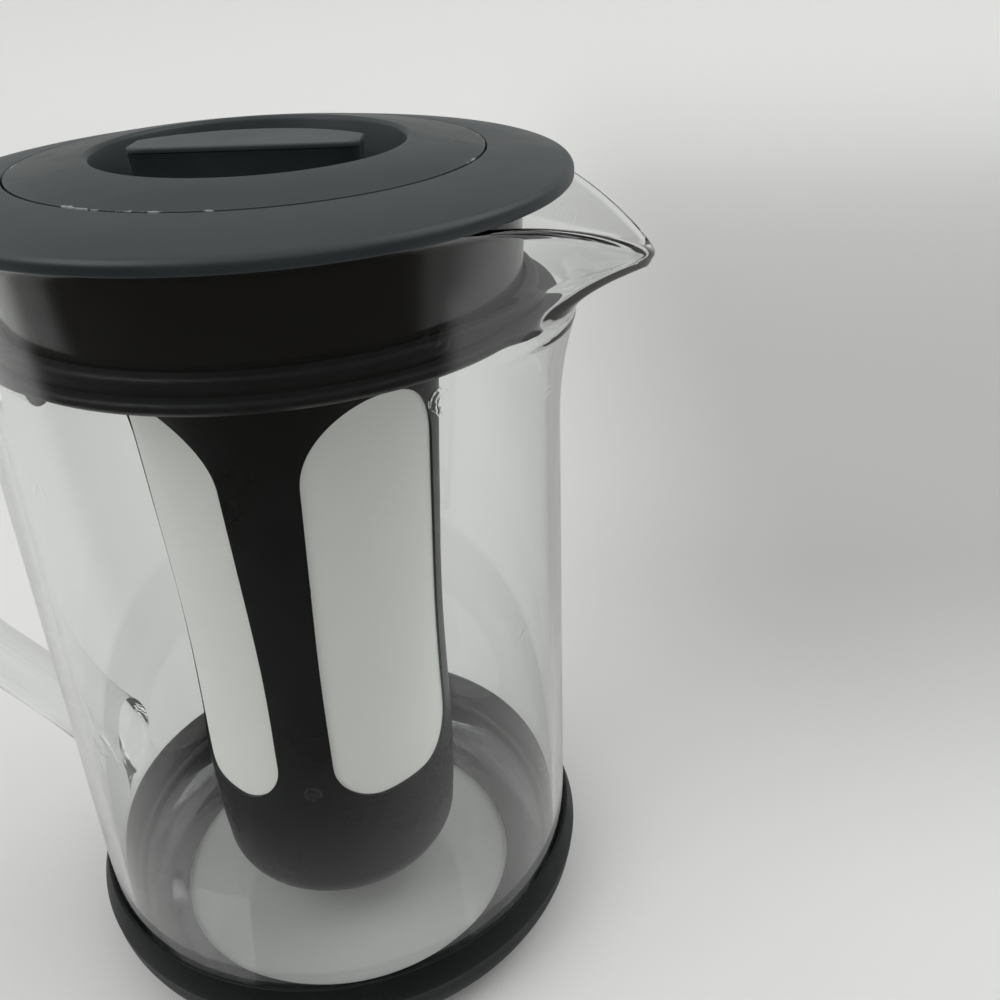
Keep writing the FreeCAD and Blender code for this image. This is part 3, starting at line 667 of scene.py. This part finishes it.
def backdrop_paper(name, colour):
    """Pale paper with painted light: lighter far behind, a painted shadow beside the object, and a painted
    dark reflection in front.
    """
    material, tree, shader = new_material(name)
    place = tree.place()
    cloud = tree.band(tree.noise(place, 5.0, 3.0), 0.3, 0.7)
    tone = tree.mix(cloud, lighter(colour, 0.985), lighter(colour, 1.015))
    axes = tree.axes(place)
    # Painted light: the paper is lighter far behind
    tone = tree.mix(tree.band(axes["Y"], 0.45, 1.2), tone, lighter(colour, 1.22))
    # Painted shadow beside and behind the object, fading further back
    beside = tree.band(axes["X"], -0.02, 0.17)
    behind = tree.band(axes["Y"], -0.03, 0.15)
    nearer = tree.band(axes["Y"], 0.25, 1.3, 1.0, 0.0)
    shade = tree.math("MULTIPLY", beside, tree.math("MULTIPLY", behind, nearer))
    tone = tree.mix(tree.math("MULTIPLY", shade, 0.93), tone, lighter(colour, 0.60))
    # Painted reflection: glossy rays see the paper in front dark, like a dark room
    front = tree.band(axes["Y"], -0.15, -0.06, 1.0, 0.13)
    painted_reflection = tree.math("MULTIPLY", tree.node("ShaderNodeLightPath").outputs["Is Glossy Ray"], front)
    tone = tree.mix(painted_reflection, tone, PAINTED_DARK_REFLECTION)
    tree.feed(shader, Base_Color=tone, Normal=tree.bump(tree.noise(place, 14.0, 3.0), 0.002, 0.2))
    shader.inputs["Roughness"].default_value = 0.9
    shader.inputs["Specular IOR Level"].default_value = 0.15
    return material


# Carafe


def hull_radius(radius, nose, nose_r, azimuth):
    """Polar radius of a circle drawn out to a rounded nose on +X."""
    centre = nose - nose_r
    if nose <= radius + 0.001:
        return radius
    tangent = math.acos((radius - nose_r) / centre)
    phi = abs(azimuth)
    nose_phi = math.atan2(nose_r * math.sin(tangent), centre + nose_r * math.cos(tangent))
    if phi >= tangent:
        return radius
    if phi >= nose_phi:
        return radius / math.cos(tangent - phi)
    return centre * math.cos(phi) + math.sqrt(nose_r ** 2 - (centre * math.sin(phi)) ** 2)


def spout_rows(radius):
    """Reach, height and plan radius of the spout's outside, from the plain wall to above the brim."""
    lean_z, throat_z, out, power, throat_nose = LEAN
    keel_z, keel_r, square, keel_nose = KEEL
    rows = []
    for i in range(16):
        share = i / 16
        rows.append((radius + out * share ** power, lean_z + (throat_z - lean_z) * share, throat_nose))
    for i in range(29):
        share = math.sin(math.pi / 2 * i / 28) ** 1.2
        back = max(0.0, 1 - share ** square) ** (1 / square)
        rows.append((keel_r - (keel_r - radius - out) * back, throat_z + (keel_z - throat_z) * share,
                     keel_nose + (throat_nose - keel_nose) * back))
    for i in range(1, 25):
        rise = 0.8 * i
        rows.append((keel_r + LIP_GROWTH[0] * rise, keel_z + rise, keel_nose + LIP_GROWTH[1] * rise))
    return rows


def inner_rows(rows, wall):
    """The same rows one wall further in, square to the spout's side view."""
    inner = []
    for i, (reach, z, nose_r) in enumerate(rows):
        before, after = rows[max(i - 1, 0)], rows[min(i + 1, len(rows) - 1)]
        out, rise = after[0] - before[0], after[1] - before[1]
        length = math.hypot(out, rise)
        moved = (reach - wall * rise / length, z + wall * out / length, max(nose_r - wall, KEEL[3] - wall))
        if not inner or moved[1] > inner[-1][1] + 0.25:
            inner.append(moved)
    return inner


def lip_height(x):
    if x <= LIP_ARC[0]:
        return BRIM_Z
    across = min(x - LIP_ARC[0], LIP_ARC[1] * 0.98)
    return BRIM_Z - LIP_ARC[1] + math.sqrt(LIP_ARC[1] ** 2 - across ** 2)


def wall_line(radius, rows, azimuth, below):
    """The wall's line (r, z) at one azimuth, up to a little below the lip."""
    line = []
    for reach, z, nose_r in rows:
        r = hull_radius(radius, reach, nose_r, azimuth)
        top = lip_height(r * math.cos(azimuth))
        if z > top and line:
            r0, z0 = line[-1]
            gap0 = lip_height(r0 * math.cos(azimuth)) - z0
            share = gap0 / (gap0 + z - top)
            line.append((r0 + (r - r0) * share, z0 + (z - z0) * share))
            break
        line.append((r, z))
    return trimmed(line, below)


def lengths(line):
    total = [0.0]
    for a, b in zip(line, line[1:]):
        total.append(total[-1] + math.dist(a, b))
    return total


def point_at(line, total, wanted):
    for i in range(1, len(line)):
        if total[i] >= wanted:
            share = (wanted - total[i - 1]) / max(total[i] - total[i - 1], 1e-9)
            a, b = line[i - 1], line[i]
            return (a[0] + (b[0] - a[0]) * share, a[1] + (b[1] - a[1]) * share)
    return line[-1]


def trimmed(line, back):
    """The line without its last stretch."""
    total = lengths(line)
    end = total[-1] - back
    kept = [p for p, at in zip(line, total) if at < end - 0.05]
    return kept + [point_at(line, total, end)]


def evened(line, count):
    """The line as count even steps."""
    total = lengths(line)
    return [point_at(line, total, total[-1] * i / count) for i in range(count + 1)]


def glass_section(settings, rows_out, rows_in, azimuth):
    """Closed half section of the glass at one azimuth: outside, rolled lip, inside."""
    radius, wall = settings.radius / MM, settings.wall / MM
    corner, floor = settings.corner / MM, settings.floor / MM
    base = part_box("carafe_glass")[0].z / MM
    flat = radius - corner
    foot = [(flat * i / 8, base) for i in range(8)]
    bend = arc_points((flat, base + corner), corner, -90, 0, 12)
    straight = [(radius, base + corner + (LEAN[0] - base - corner) * i / 12) for i in range(1, 12)]
    up = settings.up
    outside = evened(wall_line(radius, rows_out, azimuth, wall * 0.42), up)
    inside = evened(wall_line(radius - wall, rows_in, azimuth, wall * 0.42), up)
    a, b = Vector(outside[-1]), Vector(inside[-1])
    way = (a - Vector(outside[-3])).normalized() + (b - Vector(inside[-3])).normalized()
    way = way.normalized() * (a - b).length * 0.42
    lip = [tuple((a + b) / 2 + (a - b) / 2 * math.cos(t) + way * math.sin(t))
           for t in [math.pi * i / 8 for i in range(1, 8)]]
    inner_base = base + floor
    inner_corner = corner - wall
    inner_z = inner_base + inner_corner
    first_in = rows_in[0][1]
    down = [(radius - wall, first_in + (inner_z - first_in) * i / 12) for i in range(1, 12)]
    inner_bend = arc_points((flat, inner_z), inner_corner, 0, -90, 12)
    inner_floor = [(flat * (1 - i / 8), inner_base) for i in range(1, 9)]
    return foot + bend + straight + outside + lip + inside[::-1] + down + inner_bend + inner_floor


def make_glass_shell(settings):
    """The carafe as one skin: a grid wrapped round the axis, with a fire-polished lip."""
    around = settings.around
    rows_out = spout_rows(settings.radius / MM)
    rows_in = inner_rows(rows_out, settings.wall / MM)
    angles = []
    for i in range(around + 1):
        share = 2 * i / around - 1
        angles.append(math.pi * (0.45 * share + 0.55 * share ** 3))
    sections = [glass_section(settings, rows_out, rows_in, angle) for angle in angles]
    count = len(sections[0])
    deselect_all()
    bpy.ops.mesh.primitive_grid_add(x_subdivisions=around, y_subdivisions=count - 1, size=0.1)
    piece = bpy.context.object
    piece.name = "glass_carafe"
    places = []
    for j in range(count):
        for angle, section in zip(angles, sections):
            r, z = section[j]
            places += [r * math.cos(angle) * MM, r * math.sin(angle) * MM, z * MM]
    piece.data.vertices.foreach_set("co", places)
    piece.data.update()
    close_up(piece)
    return piece


def handle_point(distance, height):
    """A point of the handle's plane, in metres."""
    return Vector((distance * math.cos(HANDLE_AZIMUTH), distance * math.sin(HANDLE_AZIMUTH), height))


def rounded_line(corners, radii, steps):
    """Corners joined by straight runs and arcs, as points."""
    points = [corners[0]]
    for corner, radius, before, after in zip(corners[1:-1], radii, corners, corners[2:]):
        back, on = (before - corner).normalized(), (after - corner).normalized()
        half = back.angle(on) / 2
        bisector = (back + on).normalized()
        centre = corner + bisector * (radius / math.sin(half))
        enter = corner + back * (radius / math.tan(half))
        leave = corner + on * (radius / math.tan(half))
        start, end = enter - centre, leave - centre
        turn = start.rotation_difference(end)
        for i in range(steps + 1):
            step = Matrix.Identity(3).to_quaternion().slerp(turn, i / steps)
            points.append(centre + step @ start)
    return points + [corners[-1]]


def make_handle(settings):
    """Glass rod bent to the handle's line, swelling where it is fused to the wall."""
    corners = [handle_point(*HANDLE_FOOT), handle_point(HANDLE_REACH, HANDLE_ELBOW_Z),
               handle_point(HANDLE_REACH, HANDLE_HIGH_Z), handle_point(HANDLE_FOOT[0], HANDLE_HIGH_Z)]
    line = rounded_line(corners, HANDLE_BENDS, 14)
    steps = []
    for a, b in zip(line, line[1:]):
        parts = max(1, int((b - a).length / HANDLE_STEP))
        steps += [a.lerp(b, i / parts) for i in range(parts)]
    steps.append(line[-1])
    deselect_all()
    bpy.ops.curve.primitive_nurbs_path_add()
    path = bpy.context.object
    path.name = "glass_handle"
    path.data.splines.clear()
    spline = path.data.splines.new("POLY")
    spline.points.add(len(steps) - 1)
    for point, place in zip(spline.points, steps):
        out_by = math.hypot(place.x, place.y) - settings.radius
        swell = WELD_SWELL * math.exp(-max(0.0, out_by) / WELD_FADE)
        point.co = (place.x, place.y, place.z, 1.0)
        point.radius = 1.0 + swell
    path.data.dimensions = "3D"
    path.data.bevel_depth = settings.rod
    path.data.bevel_resolution = 10
    path.data.use_fill_caps = True
    choose(path)
    bpy.ops.object.convert(target="MESH")
    rod = bpy.context.object
    put_in_place(rod)
    close_up(rod)
    deselect_all()
    bpy.ops.mesh.primitive_cylinder_add(vertices=ROUND_SEGMENTS, radius=settings.radius - 0.0012, depth=0.2,
                                        location=(0, 0, 0.1))
    bore = bpy.context.object
    put_in_place(bore)
    apply_modifier(rod, "BOOLEAN", "trimmed at the wall", operation="DIFFERENCE", solver="EXACT", object=bore)
    bpy.data.objects.remove(bore)
    return rod


# Profiles of the turned pieces


def boot_profile():
    outer = arc_points(BOOT_CENTRE, BOOT_OUTER_R, -90, 0, 12)
    inner = arc_points(BOOT_CENTRE, BOOT_INNER_R, 0, -90, 12)
    top = [BOOT_RIDGE, BOOT_TOP, (BOOT_TOP_IN_R, BOOT_TOP[1])]
    return [(BOOT_HOLE_R, 0.0)] + outer + top + inner + [(BOOT_HOLE_R, BOOT_FLOOR_Z)]


def ring_profile():
    r0, z0, r1, z1 = RING_TOP_SLOPE
    step_z = z1 + (z0 - z1) / (r1 - r0) * (r1 - RING_CORE_R) - LID_SHELL
    return [(r0, z0), (r1, z1), RING_EDGE, (RING_EDGE[0], RING_UNDER_Z), (RING_CORE_R, RING_UNDER_Z),
            (RING_CORE_R, step_z), (r0, z0 - LID_SHELL)]


def cap_profile():
    inner = arc_points(BOWL_CENTRE, BOWL_CORNER_R, -90, 0, 6)
    outer = arc_points(BOWL_CENTRE, BOWL_CORNER_R + LID_SHELL, 0, -90, 6)
    edge = [CAP_EDGE, (CAP_EDGE[0], CAP_EDGE[1] - LID_SHELL), CAP_UNDER]
    return [(AXIS_R, BOWL_FLOOR_Z)] + inner + BOWL_RIM + edge + outer + [(AXIS_R, BOWL_FLOOR_Z - LID_SHELL)]


# Pieces


class BREWER_OT_glass(bpy.types.Operator):
    """Make the glass carafe with its spout and handle"""

    bl_idname = "brewer.glass"
    bl_label = "Glass carafe"

    def execute(self, context):
        settings = context.scene.brewer_carafe
        shell = make_glass_shell(settings)
        rod = make_handle(settings)
        apply_modifier(shell, "BOOLEAN", "fused handle", operation="UNION", solver="EXACT", object=rod)
        bpy.data.objects.remove(rod)
        close_up(shell, turn_out=False)
        shade_smooth(shell, 60.0)
        carry(shell, "carafe", "clear_glass", clear_glass("Clear glass", settings.tint), "carafe_glass",
              "carafe_spout", "handle_rod")
        return {"FINISHED"}


class BREWER_OT_boot(bpy.types.Operator):
    """Make the silicone boot under the glass"""

    bl_idname = "brewer.boot"
    bl_label = "Silicone boot"

    def execute(self, context):
        boot = turned_piece("boot", boot_profile())
        round_edges(boot, 0.0003)
        shade_smooth(boot)
        colour = context.scene.brewer_core.boot
        highlight_ridge = [side * MM for side in BOOT_RIDGE]
        carry(boot, "carafe", "boot_silicone", silicone("Boot silicone", colour, 0.42, highlight_ridge), "base_boot")
        return {"FINISHED"}


class BREWER_OT_lid(bpy.types.Operator):
    """Make the lid's matte ring and cap, and finish the glossy parts under them"""

    bl_idname = "brewer.lid"
    bl_label = "Lid"

    def execute(self, context):
        settings = context.scene.brewer_lid
        ring = turned_piece("lid_outer_ring", ring_profile())
        round_edges(ring, settings.edge)
        shade_smooth(ring)
        carry(ring, "lid", "lid_plastic", lid_plastic("Lid ring plastic", settings.plastic, 0.0598, 0.1757),
              "lid_ring")
        cap = turned_piece("lid_cap", cap_profile())
        round_edges(cap, settings.edge * 0.6, 2)
        shade_smooth(cap)
        carry(cap, "cap", "lid_plastic",
              lid_plastic("Cap plastic", settings.plastic, 0.0434, 0.1810, arrows=True), "cap_cover")
        gloss = gloss_plastic("Collar plastic", settings.gloss)
        dress("lid_collar", gloss)
        dress("cap_plug", gloss)
        dress("cap_gasket", silicone("Gasket silicone", settings.seal, 0.40))
        return {"FINISHED"}


class BREWER_OT_seal(bpy.types.Operator):
    """Make the silicone seal round the end of the collar, with its lobe towards the spout"""

    bl_idname = "brewer.seal"
    bl_label = "Collar seal"

    def execute(self, context):
        seal = turned_piece("seal", SEAL_PROFILE, 240)
        for vertex in seal.data.vertices:
            r = math.hypot(vertex.co.x, vertex.co.y)
            azimuth = abs(math.degrees(math.atan2(vertex.co.y, vertex.co.x)))
            if r > LOBE_FROM_R and vertex.co.z < LOBE_BELOW_Z and azimuth < LOBE_HALF_ANGLE:
                share = min(1.0, (LOBE_HALF_ANGLE - azimuth) / LOBE_RUN_IN)
                grown = r + LOBE_GROWTH * math.sin(share * math.pi / 2)
                vertex.co.x *= grown / r
                vertex.co.y *= grown / r
        seal.data.update()
        shade_smooth(seal, 40.0)
        colour = context.scene.brewer_lid.seal
        carry(seal, "lid", "seal_silicone", silicone("Seal silicone", colour, 0.36), "collar_seal")
        return {"FINISHED"}


def grow_loop(rows, size):
    """Draws the selected outline up through (height, growth) rows."""
    before = rows[0]
    for z, grow in rows[1:]:
        bpy.ops.mesh.extrude_region_move(TRANSFORM_OT_translate={"value": (0, 0, (z - before[0]) * MM)})
        share = [(side + 2 * grow) / (side + 2 * before[1]) for side in size]
        bpy.ops.transform.resize(value=(share[0], share[1], 1), center_override=(0, 0, 0))
        before = (z, grow)


class BREWER_OT_grip(bpy.types.Operator):
    """Make the grip bar with its bare cover plate"""

    bl_idname = "brewer.grip"
    bl_label = "Grip bar"

    def execute(self, context):
        settings = context.scene.brewer_lid
        long, wide = settings.grip_long, settings.grip_wide
        deselect_all()
        bpy.ops.mesh.primitive_plane_add(size=1, location=(0, 0, BOWL_FLOOR_Z * MM))
        grip = bpy.context.object
        grip.name = "grip"
        grip.scale = (long, wide, 1)
        put_in_place(grip)
        bpy.ops.object.mode_set(mode="EDIT")
        bpy.ops.mesh.select_all(action="SELECT")
        bpy.ops.mesh.subdivide(number_cuts=23)
        bpy.ops.object.mode_set(mode="OBJECT")
        bow = wide / 2
        arc_r = ((long / 2) ** 2 + bow ** 2) / (2 * bow)
        for vertex in grip.data.vertices:
            far = arc_r * math.cos(math.asin(min(1.0, abs(vertex.co.x) / arc_r))) - (arc_r - bow)
            share = vertex.co.y / wide + 0.5
            vertex.co.y = -wide / 2 + (far + wide / 2) * share
        grip.data.update()
        round_grip_corners(grip, long, wide)
        bpy.ops.object.mode_set(mode="EDIT")
        bpy.ops.mesh.select_all(action="SELECT")
        size = (long / MM, wide / MM)
        flare = [(side + 2 * GRIP_ROWS[0][1]) / side for side in size]
        bpy.ops.transform.resize(value=(flare[0], flare[1], 1), center_override=(0, 0, 0))
        grow_loop(GRIP_ROWS, size)
        bpy.ops.object.mode_set(mode="OBJECT")
        close_up(grip)
        shade_smooth(grip, 35.0)
        plastic = lid_plastic("Grip plastic", lighter(settings.plastic, 1.15), 0.2, 0.1)
        carry(grip, "cap", "lid_plastic", plastic, "grip_bar", "grip_cover")
        return {"FINISHED"}


def round_grip_corners(grip, long, wide):
    """Pulls the outline's four corners in to a radius."""
    for vertex in grip.data.vertices:
        x, y = vertex.co.x, vertex.co.y
        side = abs(x) - (long / 2 - GRIP_CORNER)
        near = (-wide / 2 + GRIP_CORNER) - y
        if side > 0 and near > 0:
            away = math.hypot(side, near)
            limit = max(side, near)
            vertex.co.x = math.copysign(long / 2 - GRIP_CORNER + side * limit / away, x)
            vertex.co.y = -wide / 2 + GRIP_CORNER - near * limit / away
    grip.data.update()


class BREWER_OT_core(bpy.types.Operator):
    """Finish the brew core's cage and its four mesh panels"""

    bl_idname = "brewer.core"
    bl_label = "Brew core"

    def execute(self, context):
        settings = context.scene.brewer_core
        dress("core_frame", satin_plastic("Cage plastic", settings.cage))
        mesh = filter_mesh("Filter mesh", settings.mesh)
        for i in range(1, 5):
            dress("mesh_panel_%d" % i, mesh)
        return {"FINISHED"}


# Stage


def make_floor(settings):
    """Floor and backdrop as one sheet that curves up behind."""
    deselect_all()
    bpy.ops.mesh.primitive_plane_add(size=3.0, location=(0, 0.2, 0))
    floor = bpy.context.object
    floor.name = "floor"
    put_in_place(floor)
    for edge in floor.data.edges:
        edge.select = all(floor.data.vertices[i].co.y > 1.0 for i in edge.vertices)
    for vertex in floor.data.vertices:
        vertex.select = vertex.co.y > 1.0
    for face in floor.data.polygons:
        face.select = False
    bpy.ops.object.mode_set(mode="EDIT")
    bpy.ops.mesh.select_mode(type="EDGE")
    bpy.ops.mesh.extrude_region_move(TRANSFORM_OT_translate={"value": (0, 0, 2.0)})
    bpy.ops.object.mode_set(mode="OBJECT")
    round_edges(floor, 0.9, 24)
    shade_smooth(floor, 60.0)
    floor.data.materials.append(backdrop_paper("Pale paper", settings.floor))


def make_lamp(name, watts, place):
    deselect_all()
    bpy.ops.object.light_add(type="AREA", location=place)
    lamp = bpy.context.object
    lamp.name = name
    lamp.data.energy = watts
    lamp.data.size = LAMP_SIZE
    lamp.rotation_euler = (Vector(LAMP_AIM) - Vector(place)).to_track_quat("-Z", "Y").to_euler()


def make_room(strength):
    """Room light: bright above, a little brighter on the left, dark towards the front and below."""
    world = bpy.data.worlds.new("room")
    bpy.context.scene.world = world
    world.use_nodes = True
    world.node_tree.nodes.clear()
    tree = Tree(world.node_tree)
    axes = tree.axes(tree.node("ShaderNodeTexCoord").outputs["Generated"])
    rise = tree.band(axes["Z"], -0.15, 0.55, 0.25, 1.25)
    lean = tree.math("MULTIPLY_ADD", axes["X"], -0.12, rise)
    front = tree.band(axes["Y"], -0.75, -0.15, 1.0, 0.0)
    low = tree.band(axes["Z"], 0.15, 0.65, 1.0, 0.0)
    dark = tree.math("MULTIPLY_ADD", tree.math("MULTIPLY", front, low), -0.9, 1.0)
    level = tree.math("MULTIPLY", tree.math("MAXIMUM", lean, 0.08), dark)
    light = tree.node("ShaderNodeBackground")
    tree.link(tree.math("MULTIPLY", level, strength), light.inputs["Strength"])
    output = tree.node("ShaderNodeOutputWorld")
    tree.link(light.outputs[0], output.inputs["Surface"])


class BREWER_OT_stage(bpy.types.Operator):
    """Make the floor, the lamps and the camera"""

    bl_idname = "brewer.stage"
    bl_label = "Stage"

    def execute(self, context):
        settings = context.scene.brewer_stage
        make_floor(settings)
        make_room(settings.sky)
        make_lamp("left lamp", settings.left_watts, LEFT_LAMP)
        make_lamp("right lamp", settings.right_watts, RIGHT_LAMP)
        deselect_all()
        bpy.ops.object.camera_add(location=CAMERA_PLACE)
        camera = bpy.context.object
        camera.name = "camera"
        right, up = Vector(CAMERA_RIGHT), Vector(CAMERA_UP)
        turn = Matrix((right, up, right.cross(up))).transposed()
        camera.rotation_euler = turn.to_euler()
        camera.data.lens = CAMERA_LENS
        camera.data.sensor_width = 36.0
        camera.data.clip_start = 0.01
        context.scene.camera = camera
        context.scene.view_settings.view_transform = "Standard"
        return {"FINISHED"}


# Panel and registration


class BREWER_PT_panel(bpy.types.Panel):
    """Lists the pieces of the brewer"""

    bl_idname = "BREWER_PT_panel"
    bl_label = "Cold brew coffee maker"
    bl_space_type = "VIEW_3D"
    bl_region_type = "UI"
    bl_category = "Brewer"

    def draw(self, context):
        layout = self.layout
        for settings in ("brewer_carafe", "brewer_lid", "brewer_core", "brewer_stage"):
            group = getattr(context.scene, settings)
            box = layout.box()
            for name in group.__annotations__:
                box.prop(group, name)
        for operator in OPERATORS:
            layout.operator(operator.bl_idname)


SETTINGS = {
    "brewer_carafe": CarafeSettings,
    "brewer_lid": LidSettings,
    "brewer_core": CoreSettings,
    "brewer_stage": StageSettings,
}
OPERATORS = (BREWER_OT_glass, BREWER_OT_boot, BREWER_OT_lid, BREWER_OT_seal, BREWER_OT_grip, BREWER_OT_core,
             BREWER_OT_stage)


def register():
    for kind in tuple(SETTINGS.values()) + OPERATORS + (BREWER_PT_panel,):
        bpy.utils.register_class(kind)
    for name, kind in SETTINGS.items():
        setattr(bpy.types.Scene, name, PointerProperty(type=kind))


def unregister():
    for name in SETTINGS:
        delattr(bpy.types.Scene, name)
    for kind in reversed(tuple(SETTINGS.values()) + OPERATORS + (BREWER_PT_panel,)):
        bpy.utils.unregister_class(kind)


def main():
    register()
    bpy.ops.brewer.glass()
    bpy.ops.brewer.boot()
    bpy.ops.brewer.lid()
    bpy.ops.brewer.seal()
    bpy.ops.brewer.grip()
    bpy.ops.brewer.core()
    bpy.ops.brewer.stage()
    deselect_all()


if __name__ == "__main__":
    main()
